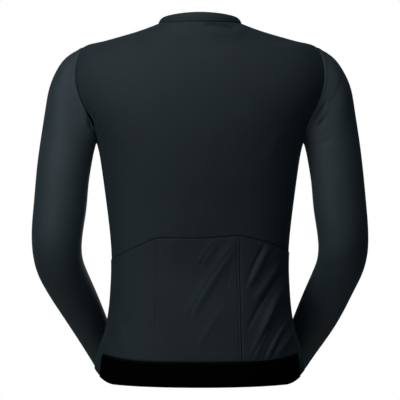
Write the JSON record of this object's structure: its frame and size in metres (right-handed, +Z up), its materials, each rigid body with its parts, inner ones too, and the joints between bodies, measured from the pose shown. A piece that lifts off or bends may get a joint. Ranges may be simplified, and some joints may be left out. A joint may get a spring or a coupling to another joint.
{
  "type": "cycling jersey",
  "caption": "Close-fitting long-sleeved cycling jersey, filled out as worn, with a low stand collar, front zip, pockets across the lower back and an elastic band at the back hem.",
  "frame": {"origin": "midway between the two points where the shoulder seams meet the collar, where the wearer's shoulders carry the jersey", "axes": "+Z up along the wearer, +Y towards the wearer's front, +X towards the wearer's right hand"},
  "size_m": [0.5985, 0.2543, 0.6581],
  "materials": {
    "jersey_knit": "soft matt fine knit",
    "sleeve_knit": "smooth fine knit with a faint sheen",
    "gripper_elastic": "matt elastic",
    "zip_tape": "woven tape with moulded teeth",
    "zip_metal": "satin black coating"
  },
  "bodies": {
    "garment": {"back": "jersey_knit", "front_right": "jersey_knit", "front_left": "jersey_knit", "sleeve_right": "sleeve_knit", "sleeve_left": "sleeve_knit", "forearm_right": "sleeve_knit", "forearm_left": "sleeve_knit", "collar": "jersey_knit", "pocket_left": "jersey_knit", "pocket_centre": "jersey_knit", "pocket_right": "jersey_knit", "hem_gripper": "gripper_elastic", "zip_tape": "zip_tape", "zip_slider": "zip_metal"},
    "pull": {"zip_pull": "zip_metal"}
  },
  "joints": [
    {"name": "pull_swing", "type": "hinge", "parent": "garment", "child": "pull", "pos_m": [0, 0.06148, -0.04262], "axis": [1, 0, 0], "range_deg": [0, 170]}
  ]
}
